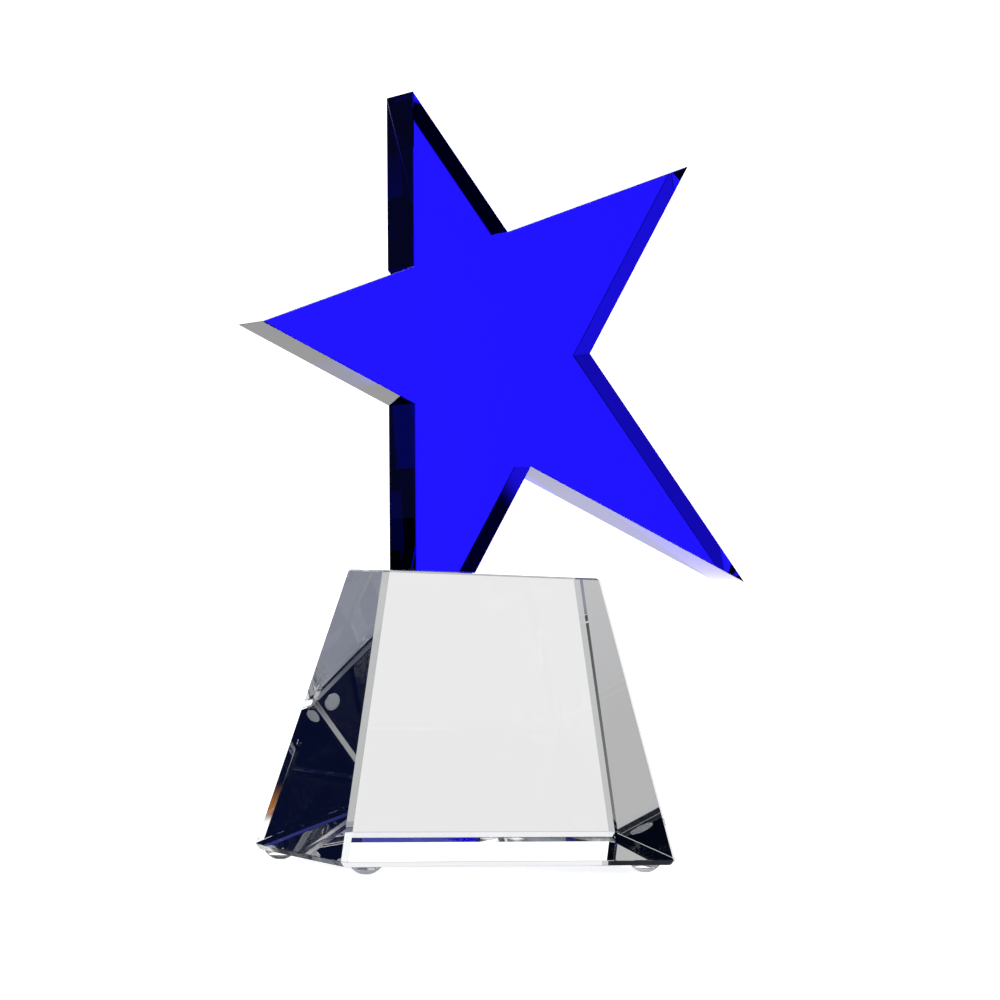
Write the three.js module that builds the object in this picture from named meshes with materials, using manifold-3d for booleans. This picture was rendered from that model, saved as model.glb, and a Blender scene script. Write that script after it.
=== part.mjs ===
// A crystal star award that stands on a table. A five-pointed star, cut from one thick plate of cobalt
// blue crystal, is bonded on its cut-off lower point to a clear crystal block. The block is a four-sided
// taper with polished arrises, and it stands on four clear bumper feet.
// Millimetres, +Z up. The block's broad front face looks towards -Y and +X is to the right along it.
// z = 0 is the surface that the feet stand on, and x = y = 0 is the middle of the whole award.
import * as THREE from "three";
import { mergeVertices } from "three/addons/utils/BufferGeometryUtils.js";
import Module from "manifold-3d";

// Blue star. Its outline is five straight saw cuts, each from one point to the next but one, so the five
// points give the whole shape. x is measured from the block's middle and z from the block's top.
const STAR_THICKNESS = 16;
const STAR_FACE_CUT = 0.2; // leg of the flat polished round both broad faces
const STAR_TIP_FLAT = 0.1; // width of the narrow flat that takes the sharp edge off each point
const STAR_POINTS = {
  top: new THREE.Vector2(-27.5, 125),
  upperRight: new THREE.Vector2(56.5, 113),
  lowerRight: new THREE.Vector2(79, 0.5),
  bottom: new THREE.Vector2(-20, -29.5), // where the two cuts would meet, inside the block
  left: new THREE.Vector2(-67.5, 62),
};

// Clear block. Its four sides all spread by the same amount from the top to the underside.
const BLOCK_TOP_WIDTH = 64.4;
const BLOCK_LEDGE = 3.7; // how much of the top is left in front of the star, and behind it
const BLOCK_HEIGHT = 75;
const BLOCK_SPREAD = 16.8;
const BLOCK_CORNER_CUT = 1.4; // leg of the flat polished along each upright corner
const BLOCK_RIM_CUT = 0.9; // leg of the flat polished round the top and round the underside

// Bond between the star's foot and the block
const BOND_THICKNESS = 0.15;
const BOND_MARGIN = 0.4; // the bond stops this far inside the edge of the star's foot

// Bumper feet: a clear dome with a small flat end, on a thin round adhesive pad
const FOOT_DIAMETER = 8;
const FOOT_HEIGHT = 2;
const FOOT_FLAT_DIAMETER = 2.6; // what the dome stands on
const PAD_THICKNESS = 0.2;
const PAD_MARGIN = 0.3; // the pad stops this far inside the foot's rim
const ROUND_SEGMENTS = 48;
const DOME_SEGMENTS = 8;
// The feet are stuck on by hand, so the gaps between a foot's rim and the two nearest edges differ.
const FEET = [
  { place: "front_left", side: -1, end: -1, gapX: 5.5, gapY: 2.5 },
  { place: "front_right", side: 1, end: -1, gapX: 2.5, gapY: 3 },
  { place: "back_left", side: -1, end: 1, gapX: 1.5, gapY: 2 },
  { place: "back_right", side: 1, end: 1, gapX: 3, gapY: 2.5 },
];

// Worked out from the sizes above
const BLOCK_TOP_DEPTH = STAR_THICKNESS + 2 * BLOCK_LEDGE;
const BLOCK_BASE_WIDTH = BLOCK_TOP_WIDTH + 2 * BLOCK_SPREAD;
const BLOCK_BASE_DEPTH = BLOCK_TOP_DEPTH + 2 * BLOCK_SPREAD;
const PAD_BASE_Z = FOOT_HEIGHT;
const BLOCK_BASE_Z = PAD_BASE_Z + PAD_THICKNESS;
const BLOCK_TOP_Z = BLOCK_BASE_Z + BLOCK_HEIGHT;

const starCrystal = new THREE.MeshStandardMaterial({ color: 0x2115ff, roughness: 0.04, metalness: 0 });
const clearCrystal = new THREE.MeshStandardMaterial({ color: 0xe8eaec, roughness: 0.03, metalness: 0 });
const curedAdhesive = new THREE.MeshStandardMaterial({ color: 0xd8dee6, roughness: 0.3, metalness: 0 });
const bumperPlastic = new THREE.MeshStandardMaterial({ color: 0xdfe3e6, roughness: 0.25, metalness: 0 });
const padAdhesive = new THREE.MeshStandardMaterial({ color: 0xc9cdd1, roughness: 0.5, metalness: 0 });

const wasm = await Module();
wasm.setup();

const award = new THREE.Group();

// A closed geometry as a solid that can be cut.
function solidOf(geometry) {
  const bare = geometry.clone();
  bare.deleteAttribute("normal");
  bare.deleteAttribute("uv");
  const merged = mergeVertices(bare);
  return new wasm.Manifold(
    new wasm.Mesh({
      numProp: 3,
      vertProperties: merged.getAttribute("position").array,
      triVerts: new Uint32Array(merged.index.array),
    }),
  );
}

function geometryOf(solid) {
  const { vertProperties, triVerts } = solid.getMesh();
  return new THREE.BufferGeometry()
    .setAttribute("position", new THREE.BufferAttribute(vertProperties, 3))
    .setIndex(new THREE.BufferAttribute(triVerts, 1));
}

// Where the straight line through a and b crosses the straight line through c and d.
function crossing(a, b, c, d) {
  const along = b.clone().sub(a);
  const across = d.clone().sub(c);
  const share = c.clone().sub(a).cross(across) / along.cross(across);
  return a.clone().addScaledVector(along, share);
}

// The counter-clockwise outline with each edge moved inwards by its own amount. amounts[i] belongs to
// the edge from corner i to corner i + 1, and a single number moves every edge alike.
function drawnIn(outline, amounts) {
  const count = outline.length;
  const edges = outline.map((start, i) => {
    const end = outline[(i + 1) % count];
    const along = end.clone().sub(start).normalize();
    const inwards = new THREE.Vector2(-along.y, along.x);
    const amount = Array.isArray(amounts) ? amounts[i] : amounts;
    return [start, end].map((p) => p.clone().addScaledVector(inwards, amount));
  });
  return edges.map((edge, i) => crossing(...edges[(i + count - 1) % count], ...edge));
}

// A solid through a stack of outlines that all have the same number of corners. It starts as a straight
// extrusion of the first outline, with one step for each later one, and then each step's corners move
// to their own outline and level.
function stackedSolid(sections) {
  const steps = sections.length - 1;
  const first = sections[0].outline;
  const solid = new THREE.ExtrudeGeometry(new THREE.Shape(first), {
    depth: steps,
    steps,
    bevelEnabled: false,
  });
  const position = solid.getAttribute("position");
  const corner = new THREE.Vector2();
  for (let i = 0; i < position.count; i++) {
    corner.set(position.getX(i), position.getY(i));
    const distances = first.map((p) => p.distanceTo(corner));
    const nearest = distances.indexOf(Math.min(...distances));
    const section = sections[Math.round(position.getZ(i))];
    position.setXYZ(i, section.outline[nearest].x, section.outline[nearest].y, section.level);
  }
  solid.computeVertexNormals();
  return solid;
}

function addPiece(name, geometry, material, x, y, z) {
  const piece = new THREE.Mesh(geometry, material);
  piece.name = name;
  piece.position.set(x, y, z);
  award.add(piece);
}

// The block's eight-cornered section at a height above its underside.
function blockSection(height) {
  const lean = (BLOCK_SPREAD * height) / BLOCK_HEIGHT;
  const halfX = BLOCK_BASE_WIDTH / 2 - lean;
  const halfY = BLOCK_BASE_DEPTH / 2 - lean;
  const cut = BLOCK_CORNER_CUT;
  return [
    [halfX, -halfY + cut],
    [halfX, halfY - cut],
    [halfX - cut, halfY],
    [-halfX + cut, halfY],
    [-halfX, halfY - cut],
    [-halfX, -halfY + cut],
    [-halfX + cut, -halfY],
    [halfX - cut, -halfY],
  ].map(([x, y]) => new THREE.Vector2(x, y));
}

function makeBlock() {
  const upper = BLOCK_HEIGHT - BLOCK_RIM_CUT;
  return stackedSolid([
    { level: 0, outline: drawnIn(blockSection(0), BLOCK_RIM_CUT) },
    { level: BLOCK_RIM_CUT, outline: blockSection(BLOCK_RIM_CUT) },
    { level: upper, outline: blockSection(upper) },
    { level: BLOCK_HEIGHT, outline: drawnIn(blockSection(BLOCK_HEIGHT), BLOCK_RIM_CUT) },
  ]);
}

// The star's corners, counter-clockwise from the left end of its foot: the foot, then each point and
// the notch after it. The foot lies flat at the height where the star meets the bond.
const { top, upperRight, lowerRight, bottom, left } = STAR_POINTS;
const footLine = [new THREE.Vector2(0, BOND_THICKNESS), new THREE.Vector2(1, BOND_THICKNESS)];
const footLeft = crossing(bottom, top, ...footLine);
const footRight = crossing(bottom, upperRight, ...footLine);
const starOutline = [
  footLeft,
  footRight,
  crossing(bottom, upperRight, left, lowerRight),
  lowerRight,
  crossing(lowerRight, top, bottom, upperRight),
  upperRight,
  crossing(upperRight, left, lowerRight, top),
  top,
  crossing(top, bottom, upperRight, left),
  left,
  crossing(left, lowerRight, top, bottom),
];

// A block that stands across one point of the star and leaves a flat of the wanted width on it.
function tipCutter(tip) {
  const here = starOutline.indexOf(tip);
  const towards = (step) => starOutline[here + step].clone().sub(tip).normalize();
  const [before, after] = [towards(-1), towards(1)];
  const halfAngle = Math.acos(before.dot(after)) / 2;
  const setBack = STAR_TIP_FLAT / 2 / Math.tan(halfAngle);
  const inwards = before.add(after).normalize();
  const size = 2 * STAR_THICKNESS;
  const centre = tip.clone().addScaledVector(inwards, setBack - size / 2);
  const cutter = new THREE.BoxGeometry(size, size, size).rotateZ(inwards.angle());
  return cutter.translate(centre.x, centre.y, 0);
}

// The broad faces are drawn in by the polished flat, except along the foot, which is left square.
function makeStar() {
  const cuts = starOutline.map((corner) => (corner === footLeft ? 0 : STAR_FACE_CUT));
  const face = drawnIn(starOutline, cuts);
  const star = stackedSolid([
    { level: -STAR_THICKNESS / 2, outline: face },
    { level: -STAR_THICKNESS / 2 + STAR_FACE_CUT, outline: starOutline },
    { level: STAR_THICKNESS / 2 - STAR_FACE_CUT, outline: starOutline },
    { level: STAR_THICKNESS / 2, outline: face },
  ]);
  const points = [lowerRight, upperRight, top, left];
  const blunted = points.reduce((solid, tip) => solid.subtract(solidOf(tipCutter(tip))), solidOf(star));
  return geometryOf(blunted).rotateX(Math.PI / 2);
}

function makeBond() {
  const width = footRight.x - footLeft.x - 2 * BOND_MARGIN;
  const depth = STAR_THICKNESS - 2 * (STAR_FACE_CUT + BOND_MARGIN);
  return new THREE.BoxGeometry(width, depth, BOND_THICKNESS);
}

// The dome's profile runs from the axis across the small flat end, up a round flank that meets the rim
// upright, and back to the axis across the back.
function makeFoot() {
  const rim = FOOT_DIAMETER / 2;
  const flat = FOOT_FLAT_DIAMETER / 2;
  const flank = new THREE.EllipseCurve(flat, FOOT_HEIGHT, rim - flat, FOOT_HEIGHT, -Math.PI / 2, 0);
  const profile = [new THREE.Vector2(0, 0), ...flank.getPoints(DOME_SEGMENTS)];
  profile.push(new THREE.Vector2(0, FOOT_HEIGHT));
  return new THREE.LatheGeometry(profile, ROUND_SEGMENTS).rotateX(Math.PI / 2);
}

function makePad() {
  const radius = FOOT_DIAMETER / 2 - PAD_MARGIN;
  return new THREE.CylinderGeometry(radius, radius, PAD_THICKNESS, ROUND_SEGMENTS).rotateX(Math.PI / 2);
}

addPiece("crystal_base", makeBlock(), clearCrystal, 0, 0, BLOCK_BASE_Z);
addPiece("crystal_star", makeStar(), starCrystal, 0, 0, BLOCK_TOP_Z);
const bondX = (footLeft.x + footRight.x) / 2;
addPiece("star_bond_film", makeBond(), curedAdhesive, bondX, 0, BLOCK_TOP_Z + BOND_THICKNESS / 2);
for (const { place, side, end, gapX, gapY } of FEET) {
  const x = side * (BLOCK_BASE_WIDTH / 2 - gapX - FOOT_DIAMETER / 2);
  const y = end * (BLOCK_BASE_DEPTH / 2 - gapY - FOOT_DIAMETER / 2);
  addPiece(`foot_${place}`, makeFoot(), bumperPlastic, x, y, 0);
  addPiece(`foot_adhesive_${place}`, makePad(), padAdhesive, x, y, PAD_BASE_Z + PAD_THICKNESS / 2);
}

// The star reaches further to the right of the block than to the left, so the whole award moves over to
// put its own middle at x = 0.
const extent = new THREE.Box3().setFromObject(award);
award.position.x = -(extent.min.x + extent.max.x) / 2;

export default award;
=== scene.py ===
"""A crystal award: a thick blue crystal star that stands on one cut-off point on a
clear tapered crystal block. A film of clear adhesive bonds the two, and four clear
bumper feet with adhesive pads carry the block.

Lengths are in metres in the CAD frame: X runs to the right along the broad front
face, Y runs from the front to the back, and Z runs up from the table.
"""

import logging
from collections.abc import Mapping, Sequence
from dataclasses import dataclass, field
from enum import Enum

import bmesh
import bpy
import numpy as np
from mathutils import Matrix, Vector


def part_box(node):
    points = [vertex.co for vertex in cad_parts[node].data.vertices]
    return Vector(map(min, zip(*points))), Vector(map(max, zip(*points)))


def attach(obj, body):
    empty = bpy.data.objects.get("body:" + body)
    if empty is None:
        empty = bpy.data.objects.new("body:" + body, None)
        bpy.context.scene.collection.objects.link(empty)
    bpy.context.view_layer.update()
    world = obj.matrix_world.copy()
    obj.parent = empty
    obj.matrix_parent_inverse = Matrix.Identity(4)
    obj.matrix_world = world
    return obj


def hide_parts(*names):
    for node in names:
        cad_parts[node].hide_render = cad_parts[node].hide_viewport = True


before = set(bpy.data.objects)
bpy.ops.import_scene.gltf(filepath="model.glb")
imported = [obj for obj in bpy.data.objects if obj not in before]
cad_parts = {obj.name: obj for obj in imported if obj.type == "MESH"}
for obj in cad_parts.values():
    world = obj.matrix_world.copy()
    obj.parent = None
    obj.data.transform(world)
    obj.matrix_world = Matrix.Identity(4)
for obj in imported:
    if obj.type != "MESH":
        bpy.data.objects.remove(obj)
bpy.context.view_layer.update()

log = logging.getLogger("crystal_award")

Colour = tuple[float, float, float, float]
Point = tuple[float, float, float]
WELD = 1e-7
WHITE = (1.0, 1.0, 1.0, 1.0)


# ---------------------------------------------------------------- shader maths


class Signal:
    """The output of a shader node, usable in Python sums."""

    def __init__(self, bench: "Bench", socket: bpy.types.NodeSocket) -> None:
        """Wraps one output socket of the tree that the bench works on."""
        self.bench, self.socket = bench, socket

    def maths(self, operation: str, *others: "Signal | float") -> "Signal":
        """Adds one Math node.

        Args:
            operation: The Math node's operation.
            others: The values after this one, in socket order.

        Returns:
            The node's result.
        """
        values = dict(enumerate((self, *others)))
        return self.bench.add("ShaderNodeMath", {"operation": operation}, values).out()

    def __add__(self, other: "Signal | float") -> "Signal":
        """self + other."""
        return self.maths("ADD", other)

    def __sub__(self, other: "Signal | float") -> "Signal":
        """self - other."""
        return self.maths("SUBTRACT", other)

    def __rsub__(self, other: float) -> "Signal":
        """other - self, as other + (-1) * self."""
        return self.maths("MULTIPLY", -1.0) + other

    def __mul__(self, other: "Signal | float") -> "Signal":
        """self * other."""
        return self.maths("MULTIPLY", other)

    def __truediv__(self, other: "Signal | float") -> "Signal":
        """self / other."""
        return self.maths("DIVIDE", other)

    __radd__, __rmul__ = __add__, __mul__

    def past(self, edge: float, soft: float) -> "Signal":
        """A soft step: 0 below the edge and 1 above it.

        Args:
            edge: Where the step is half way.
            soft: How wide the step is.

        Returns:
            The step, eased at both ends.
        """
        ends = {1: edge - soft / 2, 2: edge + soft / 2}
        return self.bench.add(
            "ShaderNodeMapRange", {"interpolation_type": "SMOOTHSTEP"}, {0: self, **ends}
        ).out()

    def between(self, low: float, high: float, soft: float) -> "Signal":
        """1 from low to high and 0 outside, with soft ends."""
        return self.past(low, soft) * (1 - self.past(high, soft))


class Made:
    """One added node, whose outputs are read as signals."""

    def __init__(self, bench: "Bench", node: bpy.types.Node) -> None:
        """Keeps the node and the bench that it stands on."""
        self.bench, self.node = bench, node

    def out(self, name: str | int = 0) -> Signal:
        """The output with this name or place, as a signal."""
        return Signal(self.bench, self.node.outputs[name])


class Bench:
    """A node tree in the making."""

    def __init__(self, tree: bpy.types.NodeTree) -> None:
        """Clears the tree to start from."""
        self.tree = tree
        tree.nodes.clear()

    def add(
        self,
        kind: str,
        settings: Mapping[str, object] | None = None,
        sockets: Mapping[str | int, object] | None = None,
    ) -> Made:
        """Adds any node.

        Args:
            kind: The node's type.
            settings: Its own settings, which are set first.
            sockets: What its inputs hold: a signal is linked, anything else is set.

        Returns:
            The node.
        """
        node = self.tree.nodes.new(kind)
        for name, value in (settings or {}).items():
            setattr(node, name, value)
        for name, value in (sockets or {}).items():
            if isinstance(value, Signal):
                self.tree.links.new(value.socket, node.inputs[name])
            else:
                node.inputs[name].default_value = value
        return Made(self, node)

    def mixed(self, share: Signal, low: Colour | Signal, high: Colour | Signal) -> Signal:
        """Blends two colours.

        Args:
            share: 0 for the low colour and 1 for the high one.
            low: The first colour.
            high: The second colour.

        Returns:
            The blended colour.
        """
        return self.add(
            "ShaderNodeMix", {"data_type": "RGBA"}, {"Factor": share, 6: low, 7: high}
        ).out(2)


# -------------------------------------------------------------------- surfaces


class Skin(Enum):
    """What a band of a surface is. The value is its cut mark, slot and smoothing."""

    FACE = (0.0, 0, False)
    # A cut's mark gives the band the crystal's cut haze and the painted shade of its cuts.
    CUT = (1.0, 0, False)
    ROUND = (0.0, 0, True)
    CONTACT = (0.0, 1, False)


@dataclass
class Shell:
    """Grids of points that are gathered into one closed mesh."""

    points: list[np.ndarray] = field(default_factory=list)
    quads: list[np.ndarray] = field(default_factory=list)
    skins: list[np.ndarray] = field(default_factory=list)
    count: int = 0

    def stack(self, rings: Sequence[np.ndarray], skins: Sequence[Skin]) -> None:
        """Adds a surface of closed rings laid one after another.

        Row i, column j of the grid is joined to row i + 1 and to column j + 1, and the
        last column to the first.

        Args:
            rings: The rings, each of shape (columns, 3), with as many columns as the rest.
            skins: What each band between two rings is.
        """
        grid = np.stack(rings)
        rows, columns = grid.shape[:2]
        place = self.count + np.arange(rows * columns).reshape(rows, columns)
        following = np.roll(place, -1, axis=1)
        quads = np.stack([place[:-1], following[:-1], following[1:], place[1:]], axis=-1)
        self.points.append(grid.reshape(-1, 3))
        self.quads.append(quads.reshape(-1, 4))
        marks = np.array([skin.value for skin in skins], float)
        self.skins.append(np.repeat(marks, columns, axis=0))
        self.count += rows * columns

    def piece(self, name: str) -> bpy.types.Object:
        """Joins the grids into one object.

        Points that meet are welded, which closes the poles and the seams between grids,
        and the faces are turned outwards.

        Args:
            name: The object's name.

        Returns:
            The object, at the origin, with its face attribute "cut".
        """
        points, quads = np.concatenate(self.points), np.concatenate(self.quads)
        skins = np.concatenate(self.skins)
        mesh = bpy.data.meshes.new(name)
        mesh.vertices.add(len(points))
        mesh.vertices.foreach_set("co", points.astype(np.float32).ravel())
        mesh.loops.add(quads.size)
        mesh.loops.foreach_set("vertex_index", quads.ravel().astype(np.int32))
        mesh.polygons.add(len(quads))
        mesh.polygons.foreach_set("loop_start", np.arange(0, quads.size, 4, dtype=np.int32))
        mesh.update(calc_edges=True)
        mesh.polygons.foreach_set("material_index", skins[:, 1].astype(np.int32))
        mesh.polygons.foreach_set("use_smooth", skins[:, 2].astype(bool))
        cut = mesh.attributes.new("cut", "FLOAT", "FACE")
        cut.data.foreach_set("value", skins[:, 0].astype(np.float32))
        work = bmesh.new()
        work.from_mesh(mesh)
        bmesh.ops.remove_doubles(work, verts=work.verts, dist=WELD)
        bmesh.ops.dissolve_degenerate(work, edges=work.edges, dist=WELD)
        bmesh.ops.recalc_face_normals(work, faces=work.faces)
        work.to_mesh(mesh)
        work.free()
        mesh.update()
        piece = bpy.data.objects.new(name, mesh)
        bpy.context.scene.collection.objects.link(piece)
        return piece


def flat_cut(size: float, roll: float = 0.06) -> np.ndarray:
    """The section of a narrow polished cut between two faces.

    The cut is flat, with both its edges rolled off: each edge is replaced by a chord from
    roll * size before it to roll * size after it.

    Args:
        size: How far the cut reaches along each face.
        roll: How far an edge's roll reaches, as a share of the cut.

    Returns:
        Rows of (inset, depth), from the first face to the second.
    """
    ends = np.array([(1 + roll, 0), (1 - roll, roll), (roll, 1 - roll), (0, 1 + roll)])
    return size * ends


def lathed(centre: Sequence[float], profile: np.ndarray, columns: int) -> list[np.ndarray]:
    """Rings of a turned shape: (r cos a, r sin a, z) for each (r, z) of the profile.

    Args:
        centre: The axis, as x and y.
        profile: Rows of (radius, height).
        columns: How many points each ring has.

    Returns:
        The rings, in the profile's order.
    """
    angle = np.linspace(0, 2 * np.pi, columns, endpoint=False)
    round_ = np.stack([np.cos(angle), np.sin(angle), np.zeros(columns)], axis=1)
    start = np.array([centre[0], centre[1], 0.0])
    return [start + r * round_ + (0, 0, z) for r, z in profile]


def boxed(
    centre: Sequence[float], half: Sequence[float], corner: float, z: float, steps: int
) -> np.ndarray:
    """A level ring round a rectangle with cut corners.

    Each long side has steps equal parts. A corner of no size leaves two points on one
    spot, so that rings with and without cut corners have the same columns.

    Args:
        centre: The middle, as x and y.
        half: Half the width and half the depth.
        corner: How far each corner is cut back along both sides.
        z: The ring's height.
        steps: The number of parts in each long side.

    Returns:
        Points of shape (4 * (steps + 1), 3).
    """
    (a, b), k = half, corner
    starts = np.array([(-a + k, -b), (a, -b + k), (a - k, b), (-a, b - k)])
    ends = np.array([(a - k, -b), (a, b - k), (-a + k, b), (-a, -b + k)])
    share = np.linspace(0, 1, steps + 1)[None, :, None]
    flat = (starts[:, None] * (1 - share) + ends[:, None] * share).reshape(-1, 2)
    return np.column_stack([flat + np.array(centre[:2]), np.full(len(flat), z)])


# -------------------------------------------------------------------- finishes


@dataclass(frozen=True)
class ContactPatch:
    """A polished face wetted all over by adhesive, which light crosses unbent."""

    name: str = "wetted_contact"
    clearness: Colour = (0.97, 0.98, 0.99, 1.0)

    def material(self) -> bpy.types.Material:
        """The patch's material."""
        made, bench = started(self.name)
        patch = bench.add("ShaderNodeBsdfTransparent", None, {"Color": self.clearness})
        bench.add("ShaderNodeOutputMaterial", None, {"Surface": patch.out()})
        return made


@dataclass(frozen=True)
class Crystal:
    """Optical crystal with polished faces and hand-polished cuts along its edges."""

    name: str
    index: float
    face_tint: Colour
    # The cuts' colour is a painted shade along the edges.
    cut_painted_shade: Colour
    cut_haze: float
    soak: Colour = WHITE
    soak_depth: float = 0.0
    lap_height: float = 2e-7
    wave_scale: float = 45.0
    rub_scale: Point = (40.0, 40.0, 900.0)
    rub_edge: float = 0.74
    rub_soft: float = 0.06
    rub_rise: float = 0.01
    rub_haze: float = 0.01

    def material(self) -> bpy.types.Material:
        """The crystal's material.

        Its faces carry a very shallow lapping wave and a few hairline rub marks, and the
        cuts are painted a little less bright than the faces, a painted shade along the edges.
        A crystal with no soak depth takes up no light.

        Returns:
            The material.
        """
        made, bench = started(self.name)
        place = bench.add("ShaderNodeTexCoord").out("Object")
        cut = bench.add("ShaderNodeAttribute", {"attribute_name": "cut"}).out("Fac")
        wave = bench.add(
            "ShaderNodeTexNoise", None, {"Vector": place, "Scale": self.wave_scale, "Detail": 1.0}
        ).out("Fac")
        stretched = bench.add(
            "ShaderNodeMapping", None, {"Vector": place, "Scale": self.rub_scale}
        ).out()
        rubs = bench.add(
            "ShaderNodeTexNoise", None, {"Vector": stretched, "Scale": 1.0, "Detail": 4.0}
        ).out("Fac")
        rub = rubs.past(self.rub_edge, self.rub_soft)
        height = wave + rub * self.rub_rise
        lap = bench.add(
            "ShaderNodeBump",
            None,
            {"Strength": 1.0, "Distance": self.lap_height, "Height": height},
        ).out()
        glass = bench.add(
            "ShaderNodeBsdfPrincipled",
            None,
            {
                # The cut faces take a darker colour: painted shade along the edges.
                "Base Color": bench.mixed(cut, self.face_tint, self.cut_painted_shade),
                "Roughness": cut * self.cut_haze + rub * self.rub_haze,
                "IOR": self.index,
                "Transmission Weight": 1.0,
                "Normal": lap,
            },
        )
        ends: dict[str | int, object] = {"Surface": glass.out()}
        if self.soak_depth > 0:
            soak = bench.add(
                "ShaderNodeVolumeAbsorption",
                None,
                {"Color": self.soak, "Density": 1 / self.soak_depth},
            )
            ends["Volume"] = soak.out()
        bench.add("ShaderNodeOutputMaterial", None, ends)
        return made


@dataclass(frozen=True)
class SoftClear:
    """A clear moulded or poured plastic with a faint grain, a little milky."""

    name: str
    tint: Colour
    index: float
    clear: float
    rough: float
    grain: float
    grain_height: float
    grain_strength: float = 0.6
    grain_shade: float = 0.9
    grain_rough: float = 0.1

    def material(self) -> bpy.types.Material:
        """The plastic's material."""
        made, bench = started(self.name)
        place = bench.add("ShaderNodeTexCoord").out("Object")
        grain = bench.add(
            "ShaderNodeTexNoise", None, {"Vector": place, "Scale": self.grain, "Detail": 3.0}
        ).out("Fac")
        bump = bench.add(
            "ShaderNodeBump",
            None,
            {"Strength": self.grain_strength, "Distance": self.grain_height, "Height": grain},
        ).out()
        shaded = bench.mixed(grain, self.tint, dimmed(self.tint, self.grain_shade))
        body = bench.add(
            "ShaderNodeBsdfPrincipled",
            None,
            {
                "Base Color": shaded,
                "Roughness": grain * self.grain_rough + self.rough,
                "IOR": self.index,
                "Transmission Weight": self.clear,
                "Normal": bump,
            },
        )
        bench.add("ShaderNodeOutputMaterial", None, {"Surface": body.out()})
        return made


BLUE_CRYSTAL = Crystal(
    name="cobalt_blue_crystal",
    index=1.52,
    face_tint=WHITE,
    # The cuts' colour here is a slight painted shade along the edges.
    cut_painted_shade=(0.9, 0.92, 0.97, 1.0),
    cut_haze=0.03,
    soak=(0.153, 0.019, 0.9375, 1.0),
    soak_depth=1 / 320,
)
CLEAR_CRYSTAL = Crystal(
    name="water_clear_crystal",
    index=1.52,
    face_tint=(0.89, 0.89, 0.89, 1.0),
    # The cuts' colour here is a strong painted shade along the edges.
    cut_painted_shade=(0.41, 0.42, 0.43, 1.0),
    cut_haze=0.02,
)
BOND_GLUE = SoftClear(
    name="cured_bond_adhesive",
    tint=(0.86, 0.9, 0.95, 1.0),
    index=1.5,
    clear=1.0,
    rough=0.02,
    grain=900.0,
    grain_height=2e-6,
)
BUMPER = SoftClear(
    name="clear_bumper_silicone",
    tint=(0.98, 0.985, 0.99, 1.0),
    index=1.38,
    clear=1.0,
    rough=0.01,
    grain=300.0,
    grain_height=3e-7,
)
PAD_GLUE = SoftClear(
    name="clear_pad_adhesive",
    tint=(0.86, 0.87, 0.88, 1.0),
    index=1.47,
    clear=0.5,
    rough=0.3,
    grain=500.0,
    grain_height=3e-7,
)


def dimmed(colour: Colour, share: float) -> Colour:
    """The colour with a share of its light, and opaque."""
    red, green, blue = (share * part for part in colour[:3])
    return red, green, blue, 1.0


def started(name: str) -> tuple[bpy.types.Material, Bench]:
    """Starts a material.

    Args:
        name: The material's name.

    Returns:
        The material and the bench for its empty node tree.
    """
    made = bpy.data.materials.new(name)
    made.use_nodes = True
    return made, Bench(made.node_tree)


class Finishes:
    """The award's finishes, each made once."""

    def __init__(self) -> None:
        """Starts with none made."""
        self.made: dict[str, bpy.types.Material] = {}

    def dress(self, piece: bpy.types.Object, *finishes: Crystal | SoftClear | ContactPatch) -> None:
        """Puts finishes on a piece, one slot for each, in order."""
        for finish in finishes:
            if finish.name not in self.made:
                self.made[finish.name] = finish.material()
            piece.data.materials.append(self.made[finish.name])


def fit(piece: bpy.types.Object, node: str, slot: str) -> None:
    """Stands a finished piece in for its CAD node.

    Args:
        piece: The piece, in place.
        node: The CAD node that it stands for.
        slot: The record's material slot.
    """
    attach(piece, "root")
    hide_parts(node)
    log.info("%s: %d faces, %s", piece.name, len(piece.data.polygons), slot)


# ---------------------------------------------------------------- sub-assemblies


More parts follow.
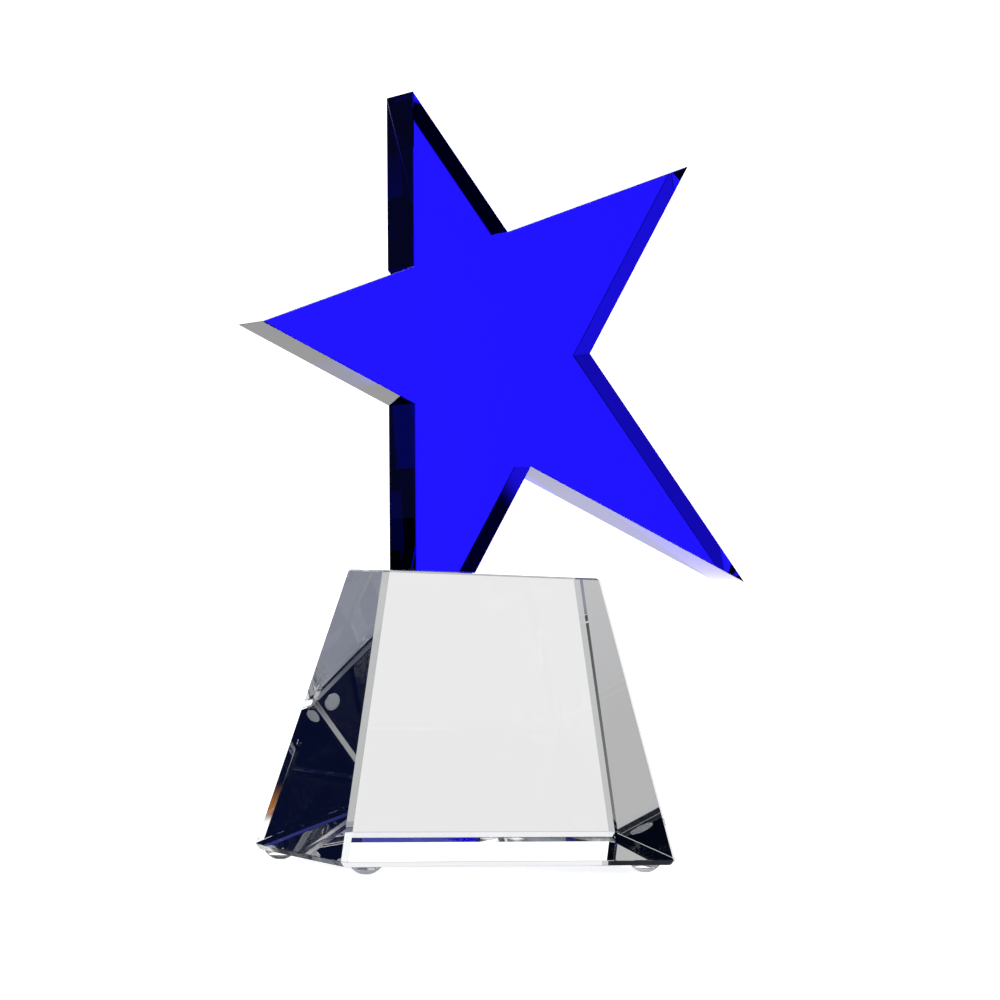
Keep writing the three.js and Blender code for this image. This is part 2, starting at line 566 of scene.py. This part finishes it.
@dataclass
class Star:
    """The blue star: a thick plate between five long straight cuts.

    The points are where the cuts would meet, in x from the block's middle and in height
    from the block's top, clockwise from the top one. The fourth one would be inside the
    block, and is cut off level on the bond film. face_cut is the leg of the flat that is
    polished round both faces, and tip_width is the flat across a point, of which the
    share tip_kept is left on the faces.
    """

    points: tuple[tuple[float, float], ...] = (
        (-0.0275, 0.125),
        (0.0565, 0.113),
        (0.079, 0.0005),
        (-0.02, -0.0295),
        (-0.0675, 0.062),
    )
    foot_point: int = 3
    bond: float = 0.00015
    face_cut: float = 0.0002
    tip_width: float = 0.0001
    tip_kept: float = 0.3

    def cuts(self, inset: float) -> tuple[np.ndarray, np.ndarray]:
        """The straight lines that bound the plate, drawn in by the inset.

        Each point has three: the line from it back to the point before the last, a short
        flat across its tip, and the line on to the next but one. The flat stays across
        the moved tip where it is tip_width wide at no inset, and tip_kept of that at the
        full cut: it is d / sin(a) + w / (2 tan(a)) from the uncut tip, for an inset d and
        a half angle a. A line is all x with normal . x = offset, and the normal points
        inwards.

        Args:
            inset: How far the long lines move in.

        Returns:
            The normals, of shape (15, 2), and the 15 offsets.
        """
        tips = np.array(self.points)
        middle = tips.mean(axis=0)
        back = np.roll(tips, 2, axis=0) - tips
        ahead = np.roll(tips, -2, axis=0) - tips
        back /= np.linalg.norm(back, axis=1, keepdims=True)
        ahead /= np.linalg.norm(ahead, axis=1, keepdims=True)
        inward = back + ahead
        inward /= np.linalg.norm(inward, axis=1, keepdims=True)
        half = np.arccos((inward * back).sum(axis=1))
        width = self.tip_width * (1 - (1 - self.tip_kept) * inset / self.face_cut)
        reach = inset / np.sin(half) + width / (2 * np.tan(half))
        normals = np.empty((5, 3, 2))
        for place, along in ((0, back), (2, ahead)):
            across = np.stack([-along[:, 1], along[:, 0]], axis=1)
            side = np.sign(((middle - tips) * across).sum(axis=1, keepdims=True))
            normals[:, place] = across * side
        normals[:, 1] = inward
        offsets = (normals * tips[:, None]).sum(axis=2)
        offsets[:, (0, 2)] += inset
        offsets[:, 1] += reach
        normals[self.foot_point, 1] = (0.0, 1.0)
        offsets[self.foot_point, 1] = self.bond + inset
        return normals.reshape(-1, 2), offsets.ravel()

    def ring(self, inset: float, y: float, seat: Point) -> np.ndarray:
        """The outline at one depth, from the crossings of neighbouring cuts.

        Args:
            inset: How far the outline is drawn in.
            y: Where it is across the plate.
            seat: The middle of the block's top.

        Returns:
            The corners, of shape (15, 3).
        """
        normals, offsets = self.cuts(inset)
        pairs = np.stack([normals, np.roll(normals, -1, axis=0)], axis=1)
        sides = np.stack([offsets, np.roll(offsets, -1)], axis=1)[..., None]
        flat = np.linalg.solve(pairs, sides)[..., 0]
        return np.column_stack([flat[:, 0] + seat[0], np.full(len(flat), y), flat[:, 1] + seat[2]])

    def build(self, finishes: Finishes, seat: Point) -> bpy.types.Object:
        """Makes the star.

        Args:
            finishes: Where finishes come from.
            seat: The middle of the block's top.

        Returns:
            The dressed piece.
        """
        low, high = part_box("crystal_star")
        front, back = low.y, high.y
        cut = flat_cut(self.face_cut)
        rings = [self.ring(d, front + depth, seat) for d, depth in cut]
        rings += [self.ring(d, back - depth, seat) for d, depth in cut[::-1]]
        middle = np.array(self.points).mean(axis=0) + (seat[0], seat[2])
        pole = np.array([middle[0], 0.0, middle[1]])
        poles = [np.tile(pole + (0, y, 0), (len(rings[0]), 1)) for y in (front, back)]
        band = [Skin.CUT] * (len(cut) - 1)
        shell = Shell()
        shell.stack(
            [poles[0], *rings, poles[1]], [Skin.FACE, *band, Skin.FACE, *band, Skin.FACE]
        )
        piece = shell.piece("blue_star")
        finishes.dress(piece, BLUE_CRYSTAL)
        fit(piece, "crystal_star", "blue_crystal")
        return piece


@dataclass
class Block:
    """The clear block: a tapered block with flat-cut corners and rims.

    Where the star and the feet are stuck on, its faces have contact patches. ledge is
    what is left of the top in front of the star and behind it, and spread is how much
    further out the underside reaches on each side. rim_cut and foot_cut are the legs of
    the flats that are polished round the top and round the underside. The part of the
    underside that the pads are set into starts rest_margin inside its outline.
    """

    top_width: float = 0.0644
    ledge: float = 0.0037
    spread: float = 0.0168
    corner_cut: float = 0.0014
    rim_cut: float = 0.0005
    foot_cut: float = 0.0014
    side_steps: int = 16
    rest_margin: float = 0.0017

    def section(self, up: float, inset: float) -> tuple[tuple[float, float], float]:
        """Half the width, half the depth and the corner cut at one height.

        Both halves shrink in a straight line from the underside to the top, by the
        spread. An outline drawn in by d has its 45 degree corners shortened by
        (2 - sqrt 2) * d.

        Args:
            up: The height above the underside, as a share of the block's height.
            inset: How far the outline is drawn in.

        Returns:
            The two halves, and the corner cut.
        """
        out = self.spread * (1 - up) - inset
        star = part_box("crystal_star")
        depth = star[1].y - star[0].y + 2 * self.ledge
        corner = self.corner_cut - (2 - 2**0.5) * inset
        return (self.top_width / 2 + out, depth / 2 + out), corner

    def build(self, finishes: Finishes, film: str, pads: Sequence[str]) -> bpy.types.Object:
        """Makes the block.

        Args:
            finishes: Where finishes come from.
            film: The CAD node of the star's bond film.
            pads: The CAD nodes of the feet's pads.

        Returns:
            The dressed piece.
        """
        low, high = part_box("crystal_base")
        centre, tall = (low + high) / 2, high.z - low.z
        rings = []
        for inset, depth in flat_cut(self.foot_cut):
            half, corner = self.section(depth / tall, inset)
            rings.append(boxed(centre, half, corner, low.z + depth, self.side_steps))
        for inset, depth in flat_cut(self.rim_cut)[::-1]:
            half, corner = self.section(1 - depth / tall, inset)
            rings.append(boxed(centre, half, corner, high.z - depth, self.side_steps))
        rest = np.array(self.section(0, self.rest_margin)[0])
        under = boxed(centre, rest, 0.0, low.z, self.side_steps)
        film_low, film_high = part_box(film)
        mid, span = (film_low + film_high) / 2, (film_high - film_low) / 2
        wet = boxed(mid, span[:2], 0.0, high.z, self.side_steps)
        pole = np.tile((mid.x, mid.y, high.z), (len(wet), 1))
        rim = [Skin.CUT] * (len(rings) // 2 - 1)
        shell = Shell()
        shell.stack(
            [under, *rings, wet, pole],
            [Skin.FACE, *rim, Skin.FACE, *rim, Skin.FACE, Skin.CONTACT],
        )
        for pad in pads:
            self.seat_pad(shell, pad, centre, rest)
        piece = shell.piece("clear_block")
        self.mark_corners(piece)
        finishes.dress(piece, CLEAR_CRYSTAL, ContactPatch())
        fit(piece, "crystal_base", "clear_crystal")
        return piece

    def seat_pad(self, shell: Shell, pad: str, centre: Vector, rest: np.ndarray) -> None:
        """Adds the quarter of the underside that one pad is stuck on.

        The quarter runs in straight lines from its own edge to the pad's edge, and on to
        the pad's middle.

        Args:
            shell: The block's surface so far.
            pad: The pad's CAD node.
            centre: The block's middle.
            rest: Half the width and half the depth of the flat underside.
        """
        low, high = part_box(pad)
        mid, radius = (low + high) / 2, (high.x - low.x) / 2
        side = np.sign([mid.x - centre.x, mid.y - centre.y])
        quarter = np.array([centre.x, centre.y]) + side * rest / 2
        edge = boxed(quarter, rest / 2, 0.0, high.z, self.side_steps // 2)
        hub = np.array([mid.x, mid.y, high.z])
        away = edge - hub
        disc = hub + radius * away / np.linalg.norm(away, axis=1, keepdims=True)
        shell.stack([edge, disc, np.tile(hub, (len(edge), 1))], [Skin.FACE, Skin.CONTACT])

    def mark_corners(self, piece: bpy.types.Object) -> None:
        """Marks the four upright corner cuts: a normal's x and y are both over a half.

        Args:
            piece: The block.
        """
        count = len(piece.data.polygons)
        normals = np.empty(count * 3, np.float32)
        piece.data.polygons.foreach_get("normal", normals)
        across = np.abs(normals.reshape(-1, 3)[:, :2]).min(axis=1)
        cut = piece.data.attributes["cut"]
        marks = np.empty(count, np.float32)
        cut.data.foreach_get("value", marks)
        # The mark gives the corner cuts the same painted shade along the edges as the other cuts.
        cut.data.foreach_set("value", np.where(across > 0.5, 1.0, marks).astype(np.float32))


@dataclass
class BondFilm:
    """The cured adhesive between the star's foot and the block.

    clearance keeps it off both crystals, waist is how far its edge is drawn in half way
    up, and corner is the cut across its corners.
    """

    clearance: float = 0.00001
    waist: float = 0.00004
    corner: float = 0.0003
    rows: int = 5

    def build(self, finishes: Finishes, node: str) -> bpy.types.Object:
        """Makes the film, with an edge drawn in at half its height.

        The edge's inset is waist * sin(pi * t), for t from 0 at the bottom to 1 at the top.

        Args:
            finishes: Where finishes come from.
            node: The film's CAD node.

        Returns:
            The dressed piece.
        """
        low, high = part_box(node)
        mid, half = (low + high) / 2, (high - low) / 2
        share = np.linspace(0, 1, self.rows)
        heights = low.z + self.clearance + share * (high.z - low.z - 2 * self.clearance)
        rings = [
            boxed(mid, (half.x - d, half.y - d), self.corner, z, 1)
            for d, z in zip(self.waist * np.sin(np.pi * share), heights)
        ]
        ends = [np.tile((mid.x, mid.y, z), (len(rings[0]), 1)) for z in heights[[0, -1]]]
        shell = Shell()
        bands = [Skin.FACE, *[Skin.ROUND] * (self.rows - 1), Skin.FACE]
        shell.stack([ends[0], *rings, ends[1]], bands)
        piece = shell.piece("bond_film")
        finishes.dress(piece, BOND_GLUE)
        fit(piece, node, "bond_adhesive")
        return piece


class Corner(Enum):
    """Which corner of the block a foot is under."""

    FRONT_LEFT = "front_left"
    FRONT_RIGHT = "front_right"
    BACK_LEFT = "back_left"
    BACK_RIGHT = "back_right"


@dataclass
class Foot:
    """A clear domed bumper and the adhesive pad that holds it to the block.

    flat_width is the flat that the dome stands on, lip is the radius of its rounded upper
    rim, and pad_clearance keeps the pad off the bumper and the block.
    """

    corner: Corner
    flat_width: float = 0.0026
    pad_clearance: float = 0.00002
    lip: float = 0.00012
    lip_steps: int = 4
    columns: int = 72
    rows: int = 18
    pad_rows: int = 7

    def build(self, finishes: Finishes) -> None:
        """Makes the bumper and its pad."""
        self.bumper(finishes, f"foot_{self.corner.value}")
        self.pad(finishes, f"foot_adhesive_{self.corner.value}")

    def bumper(self, finishes: Finishes, node: str) -> None:
        """Makes the dome.

        It is a cap of a ball of radius S = (R^2 + H^2) / (2 * H), where R is the full
        radius and H the height: the depth below the upper rim is
        sqrt(S^2 - r^2) - (S - H), stretched a little so that the flat of radius f lies
        at the full height. A moulded lip rounds the upper rim.

        Args:
            finishes: Where finishes come from.
            node: The bumper's CAD node.
        """
        low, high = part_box(node)
        mid, full, tall = (low + high) / 2, (high.x - low.x) / 2, high.z - low.z
        flat = self.flat_width / 2
        ball = (full**2 + tall**2) / (2 * tall)
        radius = np.linspace(full, flat, self.rows)
        drop = np.sqrt(ball**2 - radius**2) - (ball - tall)
        flank = np.stack([radius, tall * (1 - drop / drop[-1])], axis=1)
        turn = np.linspace(0, np.pi / 2, self.lip_steps, endpoint=False)
        rim = np.stack(
            [full - self.lip * (1 - np.sin(turn)), tall - self.lip * (1 - np.cos(turn))], axis=1
        )
        flank[:, 1] = np.minimum(flank[:, 1], tall - self.lip)
        profile = np.concatenate([[(0, tall)], rim, flank, [(0, 0)]])
        profile[:, 1] += low.z
        bands = [Skin.FACE, *[Skin.ROUND] * (len(profile) - 3), Skin.FACE]
        shell = Shell()
        shell.stack(lathed(mid, profile, self.columns), bands)
        piece = shell.piece(f"bumper_{self.corner.value}")
        finishes.dress(piece, BUMPER)
        fit(piece, node, "bumper_plastic")

    def pad(self, finishes: Finishes, node: str) -> None:
        """Makes the pad, whose squeezed edge bulges.

        The radius at a share t of its height is R - b * (1 - sin(pi * t)), where b is a
        third of its thickness.

        Args:
            finishes: Where finishes come from.
            node: The pad's CAD node.
        """
        low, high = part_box(node)
        mid, full = (low + high) / 2, (high.x - low.x) / 2
        share = np.linspace(0, 1, self.pad_rows)
        bottom, top = low.z + self.pad_clearance, high.z - self.pad_clearance
        edge = full - (high.z - low.z) / 3 * (1 - np.sin(np.pi * share))
        rows = np.stack([edge, bottom + share * (top - bottom)], axis=1)
        profile = np.concatenate([[(0, bottom)], rows, [(0, top)]])
        bands = [Skin.FACE, *[Skin.ROUND] * (len(rows) - 1), Skin.FACE]
        shell = Shell()
        shell.stack(lathed(mid, profile, self.columns), bands)
        piece = shell.piece(f"pad_{self.corner.value}")
        finishes.dress(piece, PAD_GLUE)
        fit(piece, node, "pad_adhesive")


# ---------------------------------------------------------------------- studio


@dataclass(frozen=True)
class Fade:
    """A soft edge: where it is half way, and how wide it is."""

    edge: float
    soft: float

    def past(self, signal: Signal) -> Signal:
        """0 short of the edge and 1 past it."""
        return signal.past(self.edge, self.soft)


@dataclass(frozen=True)
class Zone:
    """A part of the surround between two bearings and two heights, in degrees.

    A bearing is turned from +Y towards +X, and a height is above the level. A zone with
    no bottom or no top goes on to the surround's end, and one that is set outside its
    bearings takes the rest of the circle.
    """

    bearings: tuple[float, float]
    side_soft: float
    bottom: Fade | None = None
    top: Fade | None = None
    outside: bool = False
    strength: float = 1.0

    def share(self, bearing: Signal, rise: Signal) -> Signal:
        """How much of the zone there is in one direction.

        Args:
            bearing: The direction's bearing.
            rise: The direction's height.

        Returns:
            The strength inside the zone, and 0 outside it.
        """
        made = bearing.between(*self.bearings, self.side_soft)
        if self.outside:
            made = 1 - made
        if self.bottom:
            made = made * self.bottom.past(rise)
        if self.top:
            made = made * (1 - self.top.past(rise))
        return made * self.strength


@dataclass(frozen=True)
class FloorEdge:
    """A straight soft edge across the floor, where across_x * x + across_y * y = edge."""

    across_x: float
    across_y: float
    edge: float
    soft: float
    strength: float = 1.0

    def past(self, x: Signal, y: Signal) -> Signal:
        """0 short of the edge and the strength past it."""
        across = x * self.across_x + y * self.across_y
        return across.past(self.edge, self.soft) * self.strength


@dataclass
class Studio:
    """A pale floor that runs into a plain white surround, and the camera.

    The light is one big soft surround and the floor's own even glow. A path that only
    goes through the crystal's faces ends in plain white. A path that one of the faces has
    turned, as a mirror does, ends in a studio with darker sides, which draw the edges:
    black screens at the back left, a dark room behind the camera, a dark low ledge with a
    warm upper rim, and a few dim coloured patches. On the floor it ends in painted light
    and shade: a painted shadow under the block, painted pools of light round the feet, a
    painted dark near side, a painted shadow of the screens at the back left, and floor
    painted brighter behind and to the right.
    """

    camera_at: Point = (-0.40638, -0.781092, 0.072040)
    bearing: float = 27.534
    pitch: float = 1.6296
    roll: float = 2.0602
    lens: float = 119.086
    sensor: float = 36.0
    clip: tuple[float, float] = (0.01, 50.0)
    bounces: int = 24

    night: Colour = (0.001, 0.0025, 0.007, 1.0)
    dusk: Colour = (0.012, 0.016, 0.11, 1.0)
    ember: Colour = (0.5, 0.2, 0.03, 1.0)
    violet: Colour = (0.062, 0.069, 0.387, 1.0)
    # under: the colour of the painted shadow under the block, on the floor.
    under: Colour = (0.31, 0.33, 0.385, 1.0)
    paint: Colour = (0.85, 0.85, 0.85, 1.0)

    screen: Zone = Zone((-60.0, -8.0), 3.0, top=Fade(23.88, 0.5))
    tall_screen: Zone = Zone((-60.0, -23.0), 4.0, top=Fade(37.0, 4.0))
    side_screen: Zone = Zone((-112.0, -58.0), 4.0, top=Fade(42.0, 4.0))
    room: Zone = Zone((-110.0, 95.0), 12.0, top=Fade(50.0, 10.0), outside=True)
    loft: Zone = Zone((-200.0, -105.0), 10.0, Fade(40.0, 6.0), Fade(68.0, 6.0), strength=0.75)
    ledge: Zone = Zone((-8.0, 95.0), 8.0, top=Fade(3.95, 0.3))
    ledge_rim: Fade = Fade(3.6, 0.5)
    panel: Zone = Zone((-160.0, 158.0), 6.0, Fade(16.0, 4.0), Fade(36.0, 4.0), True, 0.6)
    dusk_patch: Zone = Zone((-30.0, -19.0), 3.0, Fade(-4.0, 3.0), Fade(11.0, 3.0))
    violet_card: Zone = Zone((124.0, 149.0), 4.0, Fade(45.0, 4.0), Fade(58.0, 4.0))
    bright: Zone = Zone((8.0, 62.0), 8.0, Fade(4.0, 0.4), Fade(32.0, 4.0), strength=0.7)
    window: Zone = Zone((-6.0, 62.0), 8.0, Fade(-6.0, 6.0), Fade(22.0, 6.0), strength=0.6)

    floor_reach: float = 4.0
    floor_drop: float = 0.00002
    floor_lift: float = 0.65
    # Painted light and shade on the floor for turned paths: behind, right and far_right paint it
    # brighter, under_soft is the edge of the painted shadow under the block, near_front and
    # near_left bound a painted dark near side, screen_foot and screen_end bound a painted shadow of
    # the screens, straight_far dims the far floor for straight paths, and the pools are painted
    # light round the feet.
    floor_level: float = 0.56
    floor_most: float = 1.5
    under_soft: float = 0.016
    behind: FloorEdge = FloorEdge(0.0, 1.0, 0.11, 0.12, 0.08)
    right: FloorEdge = FloorEdge(1.0, 0.69, 0.19, 0.09, 0.42)
    far_right: FloorEdge = FloorEdge(1.0, 0.0, 0.085, 0.05, 0.42)
    near_front: FloorEdge = FloorEdge(0.0, 1.0, -0.035, 0.03)
    near_left: FloorEdge = FloorEdge(1.0, 0.5, 0.012, 0.02)
    screen_foot: FloorEdge = FloorEdge(0.0, 1.0, 0.21, 0.12)
    screen_end: FloorEdge = FloorEdge(1.0, 0.0, -0.035, 0.05)
    straight_far: FloorEdge = FloorEdge(1.0, 0.0, 0.9, 0.4, 0.9)
    pool_reach: float = 0.0015
    pool_soft: float = 0.002
    pool_level: float = 0.62

    def place_camera(self) -> None:
        """Places the camera.

        Its bearing is turned from +Y towards +X, its pitch is above the level, and its
        roll turns its right-hand side up.
        """
        bearing, pitch, roll = np.radians([self.bearing, self.pitch, self.roll])
        ahead = Vector(
            (np.sin(bearing) * np.cos(pitch), np.cos(bearing) * np.cos(pitch), np.sin(pitch))
        )
        level = Vector((np.cos(bearing), -np.sin(bearing), 0.0))
        upright = level.cross(ahead)
        right = level * np.cos(roll) + upright * np.sin(roll)
        up = upright * np.cos(roll) - level * np.sin(roll)
        data = bpy.data.cameras.new("camera")
        data.sensor_width, data.lens = self.sensor, self.lens
        data.clip_start, data.clip_end = self.clip
        camera = bpy.data.objects.new("camera", data)
        turn = Matrix((right, up, -ahead)).transposed().to_4x4()
        camera.matrix_world = Matrix.Translation(self.camera_at) @ turn
        bpy.context.scene.collection.objects.link(camera)
        bpy.context.scene.camera = camera

    def lay_floor(self) -> None:
        """Lays the floor as one level sheet, a hair under the feet."""
        reach = self.floor_reach
        spot = (0.0, 0.0, -self.floor_drop)
        corners = [(-reach, -reach), (reach, -reach), (reach, reach), (-reach, reach)]
        ring = np.array([(x, y, spot[2]) for x, y in corners])
        shell = Shell()
        shell.stack([ring, np.tile(spot, (4, 1))], [Skin.FACE])
        floor = shell.piece("pale_floor")
        floor.data.materials.append(self.floor_material())

    def turned(self, path: Made) -> Signal:
        """1 on a path that a face of the crystal has turned, and 0 on a straight one."""
        return path.out("Glossy Depth").maths("GREATER_THAN", 0)

    def floor_material(self) -> bpy.types.Material:
        """The floor's material: pale and matt to look at, with a glow as a light that paints
        light and shade on the floor for paths that the crystal turns.

        Returns:
            The material.
        """
        made, bench = started("pale_floor")
        path = bench.add("ShaderNodeLightPath")
        seen, turned = path.out("Is Camera Ray"), self.turned(path)
        at = bench.add("ShaderNodeNewGeometry").out("Position")
        apart = bench.add("ShaderNodeSeparateXYZ", None, {0: at})
        x, y = apart.out("X"), apart.out("Y")
        # Paths that the crystal turns see painted light and shade on the floor; straight paths see
        # white.
        colour = bench.mixed(turned, WHITE, self.painted_floor_light_and_shade(bench, x, y))
        straight = 1 - self.straight_far.past(x, y)
        light = turned * self.floor_most + (1 - turned) * straight
        glow = bench.add("ShaderNodeEmission", None, {"Color": colour, "Strength": light})
        matt = bench.add("ShaderNodeBsdfDiffuse", None, {"Color": self.paint})
        lift = bench.add(
            "ShaderNodeEmission", None, {"Color": WHITE, "Strength": self.floor_lift}
        )
        plain = bench.add("ShaderNodeAddShader", None, {0: matt.out(), 1: lift.out()})
        both = bench.add("ShaderNodeMixShader", None, {0: seen, 1: glow.out(), 2: plain.out()})
        bench.add("ShaderNodeOutputMaterial", None, {"Surface": both.out()})
        return made

    def painted_floor_light_and_shade(self, bench: Bench, x: Signal, y: Signal) -> Signal:
        """The painted light and shade that a turned path meets on the floor, as a share of
        floor_most: a painted shadow under the block, painted pools of light round the feet,
        a painted dark near side, a painted shadow of the screens at the back left, and floor
        painted brighter behind and to the right.

        Args:
            bench: The floor's node tree.
            x: The place on the floor, to the right.
            y: The place on the floor, to the back.

        Returns:
            The colour.
        """
        low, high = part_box("crystal_base")
        soft = self.under_soft
        # Painted shadow under the block.
        shade = x.between(low.x, high.x, soft) * y.between(low.y, high.y, soft)
        # Painted dark near side: 0 there, 1 elsewhere.
        near = self.near_front.past(x, y) * self.near_left.past(x, y)
        # Painted shadow of the screens at the back left.
        painted_screen_shadow = self.screen_foot.past(x, y) * (1 - self.screen_end.past(x, y))
        # Floor painted brighter behind and to the right.
        painted_floor_brightening = self.behind.past(x, y) + self.right.past(x, y) + self.far_right.past(x, y)
        level = (painted_floor_brightening + self.floor_level) * near * (1 - painted_screen_shadow)
        colour = bench.mixed(level / self.floor_most, self.night, WHITE)
        # The painted shadow under the block takes the under colour.
        colour = bench.mixed(shade, colour, dimmed(self.under, 1 / self.floor_most))
        pool = dimmed(WHITE, self.pool_level / self.floor_most)
        # Painted pools of light round the feet.
        return bench.mixed(self.pools(x, y), colour, pool)

    def pools(self, x: Signal, y: Signal) -> Signal:
        """Where painted pools of light lie on the floor round the feet.

        Args:
            x: The place on the floor, to the right.
            y: The place on the floor, to the back.

        Returns:
            1 within pool_reach of a foot's edge, and 0 elsewhere.
        """
        outside: Signal | None = None
        for corner in Corner:
            low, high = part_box(f"foot_{corner.value}")
            aside, beyond = x - (low.x + high.x) / 2, y - (low.y + high.y) / 2
            away = (aside * aside + beyond * beyond).maths("SQRT")
            clear = away.past((high.x - low.x) / 2 + self.pool_reach, self.pool_soft)
            outside = clear if outside is None else outside * clear
        return 1 - outside

    def surround(self) -> None:
        """Lights the scene with the white surround and its darker sides."""
        world = bpy.data.worlds.new("white_surround")
        bpy.context.scene.world = world
        world.use_nodes = True
        bench = Bench(world.node_tree)
        turned = self.turned(bench.add("ShaderNodeLightPath"))
        way = bench.add("ShaderNodeTexCoord").out("Generated")
        apart = bench.add("ShaderNodeSeparateXYZ", None, {0: way})
        x, y, z = (apart.out(axis) for axis in "XYZ")
        bearing = x.maths("ARCTAN2", y).maths("DEGREES")
        rise = z.maths("ARCSINE").maths("DEGREES")
        ledge = self.ledge.share(bearing, rise)
        free = 1 - ledge
        for zone in (self.screen, self.tall_screen, self.side_screen, self.room, self.loft):
            free = free * (1 - zone.share(bearing, rise))
        colour = bench.mixed(free + self.panel.share(bearing, rise), self.night, WHITE)
        for share, patch in (
            (self.dusk_patch.share(bearing, rise), self.dusk),
            (ledge * self.ledge_rim.past(rise), self.ember),
            (self.violet_card.share(bearing, rise), self.violet),
        ):
            colour = bench.mixed(share, colour, patch)
        colour = bench.mixed(turned, WHITE, colour)
        bright, window = self.bright.share(bearing, rise), self.window.share(bearing, rise)
        light = turned * (1 + bright) + (1 - turned) * (1 + window)
        glow = bench.add("ShaderNodeBackground", None, {"Color": colour, "Strength": light})
        bench.add("ShaderNodeOutputWorld", None, {"Surface": glow.out()})

    def set_light_paths(self) -> None:
        """Lets light be turned often enough inside the crystal."""
        scene = bpy.context.scene
        scene.view_settings.view_transform = "Standard"
        cycles = scene.cycles
        cycles.max_bounces = self.bounces
        cycles.transmission_bounces = self.bounces
        cycles.glossy_bounces = self.bounces
        cycles.transparent_max_bounces = self.bounces
        cycles.blur_glossy = 0.0
        cycles.use_denoising = True


def main() -> None:
    """Builds the award and its studio, and reports each piece."""
    logging.basicConfig(level=logging.INFO, format="%(name)s %(message)s")
    finishes = Finishes()
    low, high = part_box("crystal_base")
    seat = ((low.x + high.x) / 2, (low.y + high.y) / 2, high.z)
    pads = [f"foot_adhesive_{corner.value}" for corner in Corner]
    Block().build(finishes, "star_bond_film", pads)
    Star().build(finishes, seat)
    BondFilm().build(finishes, "star_bond_film")
    for corner in Corner:
        Foot(corner).build(finishes)
    studio = Studio()
    studio.lay_floor()
    studio.surround()
    studio.place_camera()
    studio.set_light_paths()


if __name__ == "__main__":
    main()
